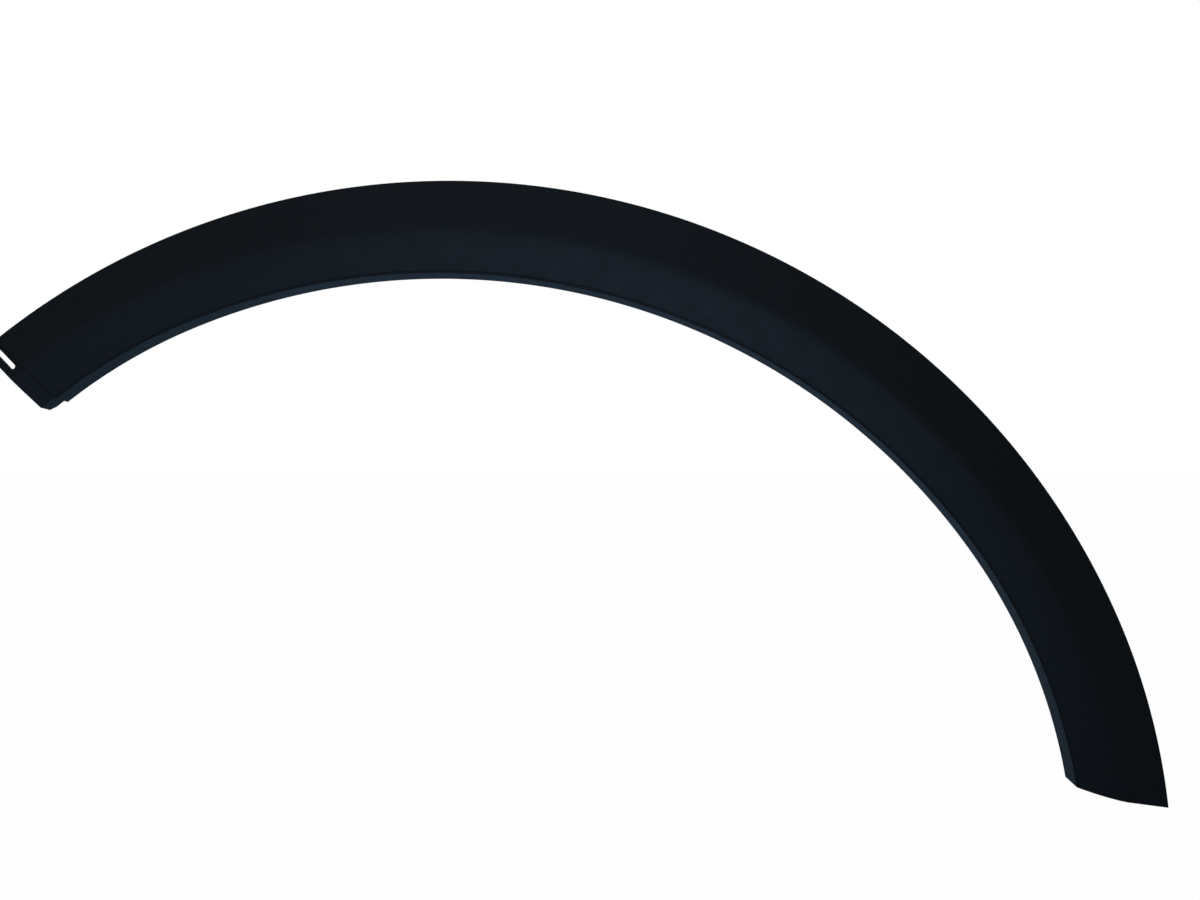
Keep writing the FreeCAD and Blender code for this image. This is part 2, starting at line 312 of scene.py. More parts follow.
def even(steps: int) -> list[float]:
    """Shares of a turn after each of its even steps."""
    return [(index + 1) / steps for index in range(steps)]


@dataclass(frozen=True)
class FaceMarks:
    """Points of the visible contour that the walls behind it are drawn from."""

    outer_start: Point
    crease_start: Point
    inner_start: Point
    rear: Point
    flange_heading: float


@dataclass(frozen=True)
class StripSection:
    """Section of the strip: rim, creased face, groove, rolled lip and drafted return flange."""

    course: ArchCourse = field(default_factory=ArchCourse)
    rim_straight: float = 1.5
    rim_round: float = 0.95
    outer_tilt: float = 19.0
    crease_radius: float = 30.0
    crease_turn: float = 13.0
    inner_radius: float = 135.0
    inner_turn: float = 9.0
    edge_round: float = 0.6
    groove_wall: float = 0.05
    groove_wall_heading: float = -40.0
    groove_round: float = 0.3
    groove_rise: float = 0.2
    groove_rise_heading: float = 34.0
    lip_round: float = 0.55
    lip_heading: float = -76.0
    flange_reach: float = 9.0
    skin_wall: float = 2.5
    flange_wall: float = 2.3
    rim_land: float = 4.0
    hold: float = 0.5
    inner_shares: tuple[float, ...] = (0.03, 0.2, 0.4, 0.6, 0.8, 0.97, 1.0)
    round_steps: int = 8
    crease_steps: int = 10

    @property
    def inner_heading(self) -> float:
        """Heading of the contour where the crease ends."""
        return self.outer_tilt - self.crease_turn

    def draw_face(self, outer_run: float) -> tuple[Pen, Point, Point, Point, float]:
        """Draw the visible face from the rim to the bottom of the groove and up to the lip.

        Args:
            outer_run: Length of the straight outer half.

        Returns:
            The pen, the starts of outer half, crease and inner half, and s at the bottom of the groove.
        """
        pen = Pen((0.0, 0.0), 90.0)
        pen.run(self.rim_straight)
        pen.arc(self.rim_round, self.outer_tilt - 90.0, even(self.round_steps))
        outer_start = pen.tip
        pen.run(outer_run, hold=self.hold)
        crease_start = pen.tip
        pen.arc(self.crease_radius, -self.crease_turn, even(self.crease_steps))
        inner_start = pen.tip
        pen.arc(self.inner_radius, -self.inner_turn, self.inner_shares)
        pen.arc(self.edge_round, self.groove_wall_heading - pen.heading, even(self.round_steps))
        pen.run(self.groove_wall)
        bottom_start = pen.tip[0]
        pen.arc(self.groove_round, self.groove_rise_heading - pen.heading, even(self.round_steps))
        bottom = (bottom_start + pen.tip[0]) / 2.0
        pen.run(self.groove_rise)
        return pen, outer_start, crease_start, inner_start, bottom

    def contour(self, angle: float) -> tuple[list[Point], FaceMarks]:
        """Draw the visible contour at an angle.

        Args:
            angle: Angle round the arch.

        Returns:
            The points from the rim to the flange's rear edge, and the marks on them.
        """
        shortest = 2.0 * self.hold
        missing = float(self.course.groove_inset(angle)) - self.draw_face(shortest)[-1]
        outer_run = shortest + missing / heading_step(self.outer_tilt)[0]
        pen, outer_start, crease_start, inner_start, _ = self.draw_face(outer_run)
        pen.arc(self.lip_round, self.lip_heading - pen.heading, even(self.round_steps))
        rear = (float(self.course.flange_inset(angle)), -self.flange_reach)
        span_s = rear[0] - pen.tip[0]
        span_h = rear[1] - pen.tip[1]
        heading = math.degrees(math.atan2(span_h, span_s))
        pen.run(math.hypot(span_s, span_h), heading, hold=self.hold)
        return pen.points, FaceMarks(outer_start, crease_start, inner_start, rear, heading)

    def sunk(self, marks: FaceMarks, depth: float, flange_depth: float, start_s: float) -> list[Point]:
        """Draw the contour without its groove, sunk into the wall.

        Args:
            marks: Marks of the visible contour.
            depth: Depth below the face.
            flange_depth: Depth below the flange.
            start_s: Distance from the rim at which the path starts.

        Returns:
            Points from the rim side to the flange's rear edge.
        """
        first = into_wall(marks.outer_start, self.outer_tilt, depth)
        rise = math.tan(math.radians(self.outer_tilt))
        points = [(start_s, first[1] + (start_s - first[0]) * rise)]
        pen = Pen(into_wall(marks.crease_start, self.outer_tilt, depth), self.outer_tilt)
        pen.arc(self.crease_radius - depth, -self.crease_turn, even(self.crease_steps))
        centre = into_wall(marks.inner_start, self.inner_heading, self.inner_radius)
        radius = self.inner_radius - depth
        last = into_wall(marks.rear, marks.flange_heading, flange_depth)
        back_s, back_h = heading_step(marks.flange_heading + 180.0)
        gap_s = last[0] - centre[0]
        gap_h = last[1] - centre[1]
        half = gap_s * back_s + gap_h * back_h
        reach = -half + math.sqrt(half ** 2 - gap_s ** 2 - gap_h ** 2 + radius ** 2)
        corner = (last[0] + reach * back_s, last[1] + reach * back_h)
        corner_heading = math.degrees(math.atan2(centre[0] - corner[0], corner[1] - centre[1]))
        pen.arc(radius, corner_heading - pen.heading, even(self.crease_steps))
        return points + pen.points + [last]

    def loop(self, angle: float) -> list[Point]:
        """Draw the closed section of the whole strip.

        Args:
            angle: Angle round the arch.

        Returns:
            Its points: the visible contour, then the back.
        """
        outside, marks = self.contour(angle)
        inside = self.sunk(marks, self.skin_wall, self.flange_wall, self.rim_land)
        return outside + inside[::-1] + [(self.rim_land, 0.0)]

    def outside_count(self) -> int:
        """Number of points on the visible contour."""
        return len(self.contour(self.course.bow_middle)[0])

    def footing(self, angle: float, inset: float) -> float:
        """Find the middle of the face's wall, where features on the back are rooted.

        Args:
            angle: Angle round the arch.
            inset: Distance inward from the rim.

        Returns:
            Height of the middle towards the viewer.
        """
        marks = self.contour(angle)[1]
        path = self.sunk(marks, self.skin_wall / 2.0, self.flange_wall / 2.0, 0.0)[:-1]
        return float(np.interp(inset, [s for s, _ in path], [h for _, h in path]))


class Surface(Enum):
    """Where on the moulding a face lies, which decides its finish."""

    FACE = 0
    BACK = 1


@dataclass(frozen=True)
class MouldedPlastic:
    """Black polypropylene with a moulded grain, faint bloom and lightly rubbed edges."""

    name: str
    colour: Colour
    bloom: Colour
    rubbed: Colour
    roughness: tuple[float, float]
    specular: float
    specular_tint: Colour
    grain_size: float
    grain_depth: float
    grain_strength: float
    patch_size: float = 70.0
    patch_detail: float = 4.0
    patch_range: tuple[float, float] = (0.35, 0.75)
    mottle_size: float = 9.0
    mottle_detail: float = 3.0
    mottle_range: tuple[float, float] = (0.3, 0.7)
    pit_share: float = 0.5
    pit_detail: float = 2.0
    bloom_share: float = 0.2
    rub_range: tuple[float, float] = (0.53, 0.62)
    rub_share: float = 0.45

    def material(self) -> bpy.types.Material:
        """Make the node material of this finish.

        Returns:
            The new material.
        """
        made = bpy.data.materials.new(self.name)
        made.use_nodes = True
        tree = made.node_tree
        shader = tree.nodes["Principled BSDF"]
        shader.inputs["Specular IOR Level"].default_value = self.specular
        shader.inputs["Specular Tint"].default_value = opaque(self.specular_tint)
        place = tree.nodes.new("ShaderNodeTexCoord").outputs["Object"]
        tree.links.new(self.colour_output(tree, place), shader.inputs["Base Color"])
        tree.links.new(self.roughness_output(tree, place), shader.inputs["Roughness"])
        tree.links.new(self.grain_output(tree, place), shader.inputs["Normal"])
        return made

    def noise(self, tree: bpy.types.NodeTree, place: bpy.types.NodeSocket, size: float,
              detail: float) -> bpy.types.NodeSocket:
        """Add a noise pattern.

        Args:
            tree: Node tree to add it to.
            place: Socket with the place on the object.
            size: Size of one patch.
            detail: Number of finer layers.

        Returns:
            The socket with the pattern's value.
        """
        node = tree.nodes.new("ShaderNodeTexNoise")
        node.inputs["Scale"].default_value = 1.0 / (size * MM)
        node.inputs["Detail"].default_value = detail
        tree.links.new(place, node.inputs["Vector"])
        return node.outputs["Fac"]

    def ranged(self, tree: bpy.types.NodeTree, value: bpy.types.NodeSocket, source: tuple[float, float],
               target: tuple[float, float]) -> bpy.types.NodeSocket:
        """Map a value from one range to another.

        Args:
            tree: Node tree to add the mapping to.
            value: Socket with the value.
            source: Range of the value.
            target: Range of the result.

        Returns:
            The socket with the result.
        """
        node = tree.nodes.new("ShaderNodeMapRange")
        limits = ("From Min", "From Max", "To Min", "To Max")
        for limit, number in zip(limits, (*source, *target)):
            node.inputs[limit].default_value = number
        tree.links.new(value, node.inputs["Value"])
        return node.outputs["Result"]

    def mixed(self, tree: bpy.types.NodeTree, share: bpy.types.NodeSocket,
              under: Colour | bpy.types.NodeSocket, over: Colour) -> bpy.types.NodeSocket:
        """Lay one colour over another.

        Args:
            tree: Node tree to add the mix to.
            share: Socket with the share of the upper colour.
            under: Lower colour, or the socket that gives it.
            over: Upper colour.

        Returns:
            The socket with the mixed colour.
        """
        node = tree.nodes.new("ShaderNodeMix")
        node.data_type = "RGBA"
        tree.links.new(share, node.inputs["Factor"])
        if isinstance(under, tuple):
            node.inputs[MIX_UNDER].default_value = opaque(under)
        else:
            tree.links.new(under, node.inputs[MIX_UNDER])
        node.inputs[MIX_OVER].default_value = opaque(over)
        return node.outputs[MIX_RESULT]

    def colour_output(self, tree: bpy.types.NodeTree, place: bpy.types.NodeSocket) -> bpy.types.NodeSocket:
        """Colour with faint bloom in patches and edges that are rubbed lighter.

        Args:
            tree: Node tree to add to.
            place: Socket with the place on the object.

        Returns:
            The colour socket.
        """
        patches = self.noise(tree, place, self.patch_size, self.patch_detail)
        bloom = self.ranged(tree, patches, self.patch_range, (0.0, self.bloom_share))
        base = self.mixed(tree, bloom, self.colour, self.bloom)
        edge = tree.nodes.new("ShaderNodeNewGeometry").outputs["Pointiness"]
        rub = self.ranged(tree, edge, self.rub_range, (0.0, self.rub_share))
        return self.mixed(tree, rub, base, self.rubbed)

    def roughness_output(self, tree: bpy.types.NodeTree,
                         place: bpy.types.NodeSocket) -> bpy.types.NodeSocket:
        """Roughness that varies a little from place to place."""
        mottle = self.noise(tree, place, self.mottle_size, self.mottle_detail)
        return self.ranged(tree, mottle, self.mottle_range, self.roughness)

    def grain_output(self, tree: bpy.types.NodeTree, place: bpy.types.NodeSocket) -> bpy.types.NodeSocket:
        """Normal with the moulded grain: small pebbles with finer pits between them.

        Args:
            tree: Node tree to add to.
            place: Socket with the place on the object.

        Returns:
            The normal socket.
        """
        pebbles = tree.nodes.new("ShaderNodeTexVoronoi")
        pebbles.feature = "SMOOTH_F1"
        pebbles.inputs["Scale"].default_value = 1.0 / (self.grain_size * MM)
        tree.links.new(place, pebbles.inputs["Vector"])
        pits = self.noise(tree, place, self.grain_size * self.pit_share, self.pit_detail)
        height = tree.nodes.new("ShaderNodeMath")
        height.operation = "SUBTRACT"
        tree.links.new(pits, height.inputs[0])
        tree.links.new(pebbles.outputs["Distance"], height.inputs[1])
        bump = tree.nodes.new("ShaderNodeBump")
        bump.inputs["Strength"].default_value = self.grain_strength
        bump.inputs["Distance"].default_value = self.grain_depth * MM
        tree.links.new(height.outputs[0], bump.inputs["Height"])
        return bump.outputs["Normal"]


# The face's strongly bluish specular tint is painted reflection: it gives the sheen the blue of a sky that
# the plastic mirrors, over a neutral black.
GRAINED_FACE = MouldedPlastic(
    name="grained_face", colour=(0.0036, 0.0038, 0.0037), bloom=(0.0044, 0.0046, 0.0046),
    rubbed=(0.0060, 0.0066, 0.0074), roughness=(0.49, 0.55), specular=0.11, specular_tint=(0.37, 0.64, 1.0),
    grain_size=0.9, grain_depth=0.09, grain_strength=0.8)
# The back's colour is about five times lighter than the face's. Part of this is the greyer, ungrained
# plastic. Part is painted light, making up for the little light that reaches the back.
PLAIN_BACK = MouldedPlastic(
    name="plain_back", colour=(0.0185, 0.0196, 0.0210), bloom=(0.0235, 0.0248, 0.0265),
    rubbed=(0.0340, 0.0358, 0.0380), roughness=(0.34, 0.44), specular=0.45, specular_tint=(0.90, 0.96, 1.0),
    grain_size=0.5, grain_depth=0.02, grain_strength=0.25)


def surface_finishes() -> list[bpy.types.Material]:
    """Materials of the finishes, in the order of the surfaces."""
    return [GRAINED_FACE.material(), PLAIN_BACK.material()]


@dataclass(frozen=True)
class Workshop:
    """Turns meshes into pieces of the object: finish, soft edges, and the body that they ride on."""

    edge_width: float = 0.35
    edge_segments: int = 3
    edge_angle: float = 32.0
    finishes: list[bpy.types.Material] = field(default_factory=surface_finishes)

    def piece(self, name: str, mesh: bpy.types.Mesh, surface: Surface | None = None,
              edge_width: float | None = None) -> bpy.types.Object:
        """Make a piece from a mesh.

        Args:
            name: Name of the piece.
            mesh: Its mesh, in metres in the frame.
            surface: Finish of all its faces, or None where the faces already say theirs.
            edge_width: Width of the softened edges, or None for the usual one.

        Returns:
            The piece, riding on the part's body.
        """
        for finish in self.finishes:
            mesh.materials.append(finish)
        if surface is not None:
            mesh.polygons.foreach_set("material_index", [surface.value] * len(mesh.polygons))
        mesh.shade_smooth()
        mesh.set_sharp_from_angle(angle=math.radians(self.edge_angle))
        made = bpy.data.objects.new(name, mesh)
        bpy.context.scene.collection.objects.link(made)
        soften = made.modifiers.new("soft_edges", "BEVEL")
        soften.limit_method = "ANGLE"
        soften.angle_limit = math.radians(self.edge_angle)
        soften.width = (self.edge_width if edge_width is None else edge_width) * MM
        soften.segments = self.edge_segments
        soften.use_clamp_overlap = False
        soften.harden_normals = True
        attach(made, BODY)
        log.info("piece %s: %d faces", name, len(mesh.polygons))
        return made


def mesh_from(name: str, points: np.ndarray, faces: Sequence[Sequence[int]]) -> bpy.types.Mesh:
    """Make a closed mesh whose faces look outward.

    Args:
        name: Name of the mesh.
        points: Its points in metres.
        faces: Indices of each face's points.

    Returns:
        The mesh.
    """
    mesh = bpy.data.meshes.new(name)
    mesh.from_pydata([tuple(point) for point in points], [], [tuple(face) for face in faces])
    shape = bmesh.new()
    shape.from_mesh(mesh)
    bmesh.ops.recalc_face_normals(shape, faces=shape.faces)
    shape.to_mesh(mesh)
    shape.free()
    return mesh


def tube_mesh(name: str, points: np.ndarray) -> bpy.types.Mesh:
    """Join rings of points into a tube with a cap at each end.

    Args:
        name: Name of the mesh.
        points: Places in metres: a row for each ring, a column for each point round it.

    Returns:
        The closed mesh; its faces go ring by ring, and the caps come last.
    """
    rows, columns = points.shape[:2]
    faces = []
    for here in range(0, (rows - 1) * columns, columns):
        there = here + columns
        for column in range(columns):
            after = (column + 1) % columns
            faces.append((here + column, here + after, there + after, there + column))
    last = (rows - 1) * columns
    caps = [range(columns), range(last, last + columns)]
    return mesh_from(name, points.reshape(-1, 3), faces + caps)


def prism_mesh(name: str, lower: Sequence[Sequence[float]],
               upper: Sequence[Sequence[float]]) -> bpy.types.Mesh:
    """Make a prism between two outlines.

    Args:
        name: Name of the mesh.
        lower: Points of one outline in metres.
        upper: Points of the other, in the same order.

    Returns:
        The closed mesh.
    """
    return tube_mesh(name, np.array((lower, upper)))


def carved(mesh: bpy.types.Mesh, cutters: Sequence[bpy.types.Mesh]) -> bpy.types.Mesh:
    """Cut meshes out of another.

    Args:
        mesh: Mesh to cut.
        cutters: Closed meshes to take away; they are deleted.

    Returns:
        The mesh that is left.
    """
    blank = bpy.data.objects.new("blank", mesh)
    tools = [bpy.data.objects.new("cutter", cutter) for cutter in cutters]
    for item in [blank] + tools:
        bpy.context.scene.collection.objects.link(item)
    for tool in tools:
        cut = blank.modifiers.new("cut", "BOOLEAN")
        cut.operation = "DIFFERENCE"
        cut.solver = "EXACT"
        cut.object = tool
    left = bpy.data.meshes.new_from_object(blank.evaluated_get(bpy.context.evaluated_depsgraph_get()))
    for item in [blank] + tools:
        spent = item.data
        bpy.data.objects.remove(item)
        bpy.data.meshes.remove(spent)
    return left


@dataclass(frozen=True)
class ShellSweep:
    """Closed section swept round the arch between two cut lines."""

    course: ArchCourse
    loop: Callable[[float], list[Point]]
    start: CutLine
    end: CutLine
    steps: int
    margin: float = 8.0
    passes: int = 3

    def points(self) -> np.ndarray:
        """Sweep the section.

        Returns:
            Array of places in metres: a row for each step, a column for each point of the section.
        """
        low = self.start.angle - self.margin
        high = self.end.angle + self.margin
        angles = np.linspace(low, high, int(high - low) + 1)
        drawn = np.array([self.loop(float(angle)) for angle in angles])
        share = np.linspace(0.0, 1.0, self.steps + 1)
        columns = []
        for index in range(drawn.shape[1]):
            angle = self.start.angle + share * (self.end.angle - self.start.angle)
            for _ in range(self.passes):
                inset = np.interp(angle, angles, drawn[:, index, 0])
                height = np.interp(angle, angles, drawn[:, index, 1])
                angle = (1.0 - share) * self.start.crossing(self.course, inset, height)
                angle = angle + share * self.end.crossing(self.course, inset, height)
            inset = np.interp(angle, angles, drawn[:, index, 0])
            height = np.interp(angle, angles, drawn[:, index, 1])
            columns.append(self.course.place(angle, inset, height))
        return np.stack(columns, 1)

    def mesh(self, name: str) -> bpy.types.Mesh:
        """Closed shell of the swept section, with a cap at each end."""
        return tube_mesh(name, self.points())


@dataclass(frozen=True)
class MouldedStrip:
    """The visible strip with its return flange, between the step of the tongue and the long leg's tip."""

    section: StripSection
    left: CutLine
    right: CutLine
    steps: int = 240

    def build(self, workshop: Workshop) -> bpy.types.Object:
        """Build the strip, which stands for the whole moulding.

        Args:
            workshop: Makes the piece.

        Returns:
            The strip.
        """
        sweep = ShellSweep(self.section.course, self.section.loop, self.left, self.right, self.steps)
        mesh = sweep.mesh("moulded_strip")
        columns = len(self.section.loop(self.section.course.bow_middle))
        face_columns = self.section.outside_count()
        for index, polygon in enumerate(mesh.polygons):
            swept = index < self.steps * columns
            seen = not swept or index % columns < face_columns
            polygon.material_index = Surface.FACE.value if seen else Surface.BACK.value
        made = workshop.piece("moulded_strip", mesh)
        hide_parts(NODE)
        return made


@dataclass(frozen=True)
class LapTongue:
    """Stepped-back end of the strip, with a slot, over which the next trim laps."""

    section: StripSection
    end: CutLine
    length: float = 10.5
    step: float = 2.0
    wall: float = 2.3
    inset: float = 2.8
    root: float = 4.0
    slot_width: float = 3.0
    slot_length: float = 16.0
    slot_edge_gap: float = 6.2
    slot_rim_gap: float = 14.7
    slot_steps: int = 12
    cut_reach: float = 60.0
    corner_cut: float = 4.0
    corner_margin: float = 3.0
    steps: int = 8
    back_lean: float = 0.3

    def loop(self, angle: float) -> list[Point]:
        """Draw the closed section of the tongue.

        Args:
            angle: Angle round the arch.

        Returns:
            Its points: the front, then the back.
        """
        marks = self.section.contour(angle)[1]
        depths = (self.step, self.step + self.wall)
        front, rear = (self.section.sunk(marks, depth, depth, self.inset) for depth in depths)
        return front + rear[::-1]

    def slot_cutter(self) -> bpy.types.Mesh:
        """Round-ended bar that cuts the slot.

        Returns:
            The closed mesh of the bar.
        """
        along, out = self.end.directions()
        start = self.section.course.face_on(self.end.angle, 0.0) - out * self.slot_edge_gap
        half = (self.slot_length - self.slot_width) / 2.0
        outline = []
        for side in (1.0, -1.0):
            centre = start + along * (self.slot_rim_gap + side * half)
            for index in range(self.slot_steps + 1):
                turn = math.pi * index / self.slot_steps - math.pi / 2.0
                reach = along * math.cos(turn) + out * math.sin(turn)
                outline.append(centre + reach * side * self.slot_width / 2.0)
        low = [(x * MM, -self.cut_reach * MM, z * MM) for x, z in outline]
        high = [(x * MM, self.cut_reach * MM, z * MM) for x, z in outline]
        return prism_mesh("slot_bar", low, high)

    def corner_cutter(self) -> bpy.types.Mesh:
        """Wedge that takes off the corner at the rear edge of the flange.

        Returns:
            The closed mesh of the wedge.
        """
        course = self.section.course
        along, out = self.end.directions()
        start = course.face_on(self.end.angle, 0.0) + along * course.face_width / 2.0
        rear = float(course.bow_depth(self.end.angle)) + self.section.flange_reach
        near = self.corner_margin
        far = self.corner_cut + self.corner_margin
        triangle = [(near, rear - far), (near, rear + near), (-far, rear + near)]
        outlines = []
        for reach in (0.0, self.cut_reach):
            flats = [start + along * reach + out * aside for aside, _ in triangle]
            outlines.append([(x * MM, depth * MM, z * MM) for (x, z), (_, depth) in zip(flats, triangle)])
        return prism_mesh("corner_wedge", *outlines)

    def build(self, workshop: Workshop) -> bpy.types.Object:
        """Build the tongue with its slot and cut corner.

        Args:
            workshop: Makes the piece.

        Returns:
            The tongue.
        """
        inner_end = self.end.back(self.length + self.root)
        sweep = ShellSweep(self.section.course, self.loop, self.end, inner_end, self.steps)
        mesh = carved(sweep.mesh("tongue_blank"), [self.slot_cutter(), self.corner_cutter()])
        turn = math.radians(self.end.angle)
        hidden_side = Vector((math.sin(turn), 1.0, math.cos(turn))).normalized()
        for polygon in mesh.polygons:
            seen = polygon.normal.dot(hidden_side) < self.back_lean
            polygon.material_index = Surface.FACE.value if seen else Surface.BACK.value
        return workshop.piece("lap_tongue", mesh)


@dataclass(frozen=True)
class BackPlace:
    """A place on the back of the strip, with directions outward to the rim and along the arch."""

    section: StripSection
    angle: float
    inset: float

    def spot(self, outward: float, along: float) -> Point:
        """Find a face-on place beside this one.

        Args:
            outward: Distance towards the rim.
            along: Distance along the arch, towards the long leg.

        Returns:
            The place, as x and z.
        """
        x, z = self.section.course.face_on(self.angle, self.inset)
        turn = math.radians(self.angle)
        return (float(x) + outward * math.sin(turn) + along * math.cos(turn),
                float(z) + outward * math.cos(turn) - along * math.sin(turn))

    def seat(self) -> float:
        """Depth of the plane that the body side touches here."""
        return float(self.section.course.bow_depth(self.angle))

    def at(self, flat: Point, depth: float) -> Place:
        """Face-on place at a depth, in metres."""
        return flat[0] * MM, depth * MM, flat[1] * MM

    def rooted(self, flat: Point) -> Place:
        """Set a face-on place into the middle of the face's wall.

        Args:
            flat: Place as x and z.

        Returns:
            The place in metres.
        """
        angle, inset = self.section.course.section_of(*flat)
        depth = float(self.section.course.bow_depth(angle)) - self.section.footing(angle, inset)
        return self.at(flat, depth)

    def standing(self, name: str, outline: Sequence[Point], top: float) -> bpy.types.Mesh:
        """Make a prism that stands on the wall.

        Args:
            name: Name of the mesh.
            outline: Its corners, outward and along from this place.
            top: Height of its top above the seat plane.

        Returns:
            The closed mesh.
        """
        flats = [self.spot(*corner) for corner in outline]
        upper = [self.at(flat, self.seat() + top) for flat in flats]
        return prism_mesh(name, [self.rooted(flat) for flat in flats], upper)

    def through(self, name: str, outline: Sequence[Point], low: float, high: float) -> bpy.types.Mesh:
        """Make a prism between two heights beside the seat plane.

        Args:
            name: Name of the mesh.
            outline: Its corners, outward and along from this place.
            low: Height of its foot.
            high: Height of its top.

        Returns:
            The closed mesh.
        """
        flats = [self.spot(*corner) for corner in outline]
        lower = [self.at(flat, self.seat() + low) for flat in flats]
        return prism_mesh(name, lower, [self.at(flat, self.seat() + high) for flat in flats])


def rectangle(width: float, start: float, end: float) -> list[Point]:
    """Corners of a rectangle, centred outward and running from start to end along the arch."""
    return [(-width / 2.0, start), (width / 2.0, start), (width / 2.0, end), (-width / 2.0, end)]


@dataclass(frozen=True)
class ClipTower:
    """Open-sided tower on the back, whose top plate takes the neck of a push-in clip."""

    place: BackPlace
    length: float = 22.0
    width: float = 18.0
    wall: float = 1.8
    plate: float = 2.2
    neck_width: float = 8.0
    neck_steps: int = 16
    clear: float = 40.0
    edge_width: float = 0.25

    def neck(self) -> list[Point]:
        """Draw the U slot for the clip's neck.

        Returns:
            Its corners, outward and along from the tower's place.
        """
        radius = self.neck_width / 2.0
        turns = [math.pi * index / self.neck_steps for index in range(self.neck_steps + 1)]
        rounded = [(radius * math.cos(turn), -radius * math.sin(turn)) for turn in turns]
        return [(radius, self.length)] + rounded + [(-radius, self.length)]

    def build(self, workshop: Workshop, name: str) -> bpy.types.Object:
        """Build the tower.

        Args:
            workshop: Makes the piece.
            name: Name of the piece.

        Returns:
            The tower.
        """
        half = self.length / 2.0
        blank = self.place.standing("tower_blank", rectangle(self.width, -half, half), 0.0)
        room = rectangle(self.width - 2.0 * self.wall, self.wall - half, self.length)
        pocket = self.place.through("tower_pocket", room, -self.clear, -self.plate)
        neck = self.place.through("tower_neck", self.neck(), -self.clear, self.clear)
        return workshop.piece(name, carved(blank, [pocket, neck]), Surface.BACK, self.edge_width)


@dataclass(frozen=True)
class FlangeGusset:
    """Thin triangular brace between the face and the return flange."""

    section: StripSection
    angle: float
    wall: float = 1.6
    run: float = 11.0
    drop: float = 12.0
    root: float = 1.0
    edge_width: float = 0.2

    def build(self, workshop: Workshop, name: str) -> bpy.types.Object:
        """Build the gusset.

        Args:
            workshop: Makes the piece.
            name: Name of the piece.

        Returns:
            The gusset.
        """
        section = self.section
        marks = section.contour(self.angle)[1]
        corner = section.sunk(marks, section.skin_wall, section.flange_wall, section.rim_land)[-2]
        free_s = corner[0] - self.run
        outline = [(free_s, section.footing(self.angle, free_s)), (free_s, corner[1]),
                   (corner[0], corner[1] - self.drop), (corner[0] + self.root, corner[1] - self.drop),
                   (corner[0] + self.root, corner[1] + self.root)]
        turn = math.radians(self.angle)
        along = np.array((math.cos(turn), 0.0, -math.sin(turn))) * self.wall / 2.0 * MM
        middle = [section.course.place(self.angle, *point) for point in outline]
        mesh = prism_mesh(name, [point - along for point in middle], [point + along for point in middle])
        return workshop.piece(name, mesh, Surface.BACK, self.edge_width)


@dataclass(frozen=True)
class LocatingPin:
    """Round pin with a chamfered tip on a shouldered boss, braced by a cross of two webs."""

    place: BackPlace
    radius: float = 3.0
    reach: float = 10.0
    chamfer: float = 1.2
    boss_radius: float = 4.6
    shoulder_gap: float = 2.0
    web: float = 1.5
    web_reach: float = 8.5
    web_step: float = 0.3
    sides: int = 40
    edge_width: float = 0.25
    web_edge_width: float = 0.2

    def ring(self, radius: float) -> list[Point]:
        """Points round the pin's axis."""
        turns = [math.tau * index / self.sides for index in range(self.sides)]
        return [(radius * math.cos(turn), radius * math.sin(turn)) for turn in turns]

    def turned_mesh(self) -> bpy.types.Mesh:
        """Boss, shank and tip as one turned shell.

        Returns:
            The closed mesh.
        """
        place = self.place
        rows = [[place.rooted(place.spot(*spot)) for spot in self.ring(self.boss_radius)]]
        profile = [(self.boss_radius, -self.shoulder_gap), (self.radius, -self.shoulder_gap),
                   (self.radius, self.reach - self.chamfer), (self.radius - self.chamfer, self.reach)]
        for radius, height in profile:
            depth = place.seat() + height
            rows.append([place.at(place.spot(*spot), depth) for spot in self.ring(radius)])
        return tube_mesh("pin_turned", np.array(rows))

    def build(self, workshop: Workshop, name: str) -> list[bpy.types.Object]:
        """Build the pin and its webs.

        Args:
            workshop: Makes the pieces.
            name: Name of the pin; the webs add to it.

        Returns:
            The pin and its two webs.
        """
        top = -self.shoulder_gap - self.web_step
        across = rectangle(2.0 * self.web_reach, -self.web / 2.0, self.web / 2.0)
        along = rectangle(self.web, -self.web_reach, self.web_reach)
        pieces = [workshop.piece(name, self.turned_mesh(), Surface.BACK, self.edge_width)]
        for label, outline in (("web_across", across), ("web_along", along)):
            mesh = self.place.standing(label, outline, top)
            pieces.append(workshop.piece(f"{name}_{label}", mesh, Surface.BACK, self.web_edge_width))
        return pieces


@dataclass(frozen=True)
class EndWeb:
    """Wall that closes the channel behind the long leg's tip."""

    section: StripSection
    end: CutLine
    wall: float = 2.0
    gap: float = 0.5
    inset: float = 0.25
    start_s: float = 6.0
    edge_width: float = 0.2

    def outline(self, line: CutLine) -> list[np.ndarray]:
        """Corners of the web's face along a cut line.

        Args:
            line: Line that the face follows.

        Returns:
            Places in metres.
        """
        section = self.section
        course = section.course
        marks = section.contour(line.angle)[1]
        path = section.sunk(marks, section.skin_wall / 2.0, section.flange_wall / 2.0, self.start_s)[:-1]
        angles = line.crossing(course, *np.array(path).T)
        roof = [course.place(angle, *point) for angle, point in zip(angles, path)]
        seat = (float(course.bow_depth(line.angle)) - self.gap) * MM
        out = line.directions()[1]
        lean = math.tan(math.radians(line.draft))
        floor = []
        for spot in (roof[-1], roof[0]):
            shift = lean * (seat - spot[1])
            floor.append(np.array((spot[0] - out[0] * shift, seat, spot[2] - out[1] * shift)))
        return roof + floor

    def build(self, workshop: Workshop) -> bpy.types.Object:
        """Build the web.

        Args:
            workshop: Makes the piece.

        Returns:
            The web.
        """
        near = self.outline(self.end.back(self.wall))
        far = self.outline(self.end.back(self.inset))
        return workshop.piece("end_web", prism_mesh("end_web", near, far), Surface.BACK, self.edge_width)


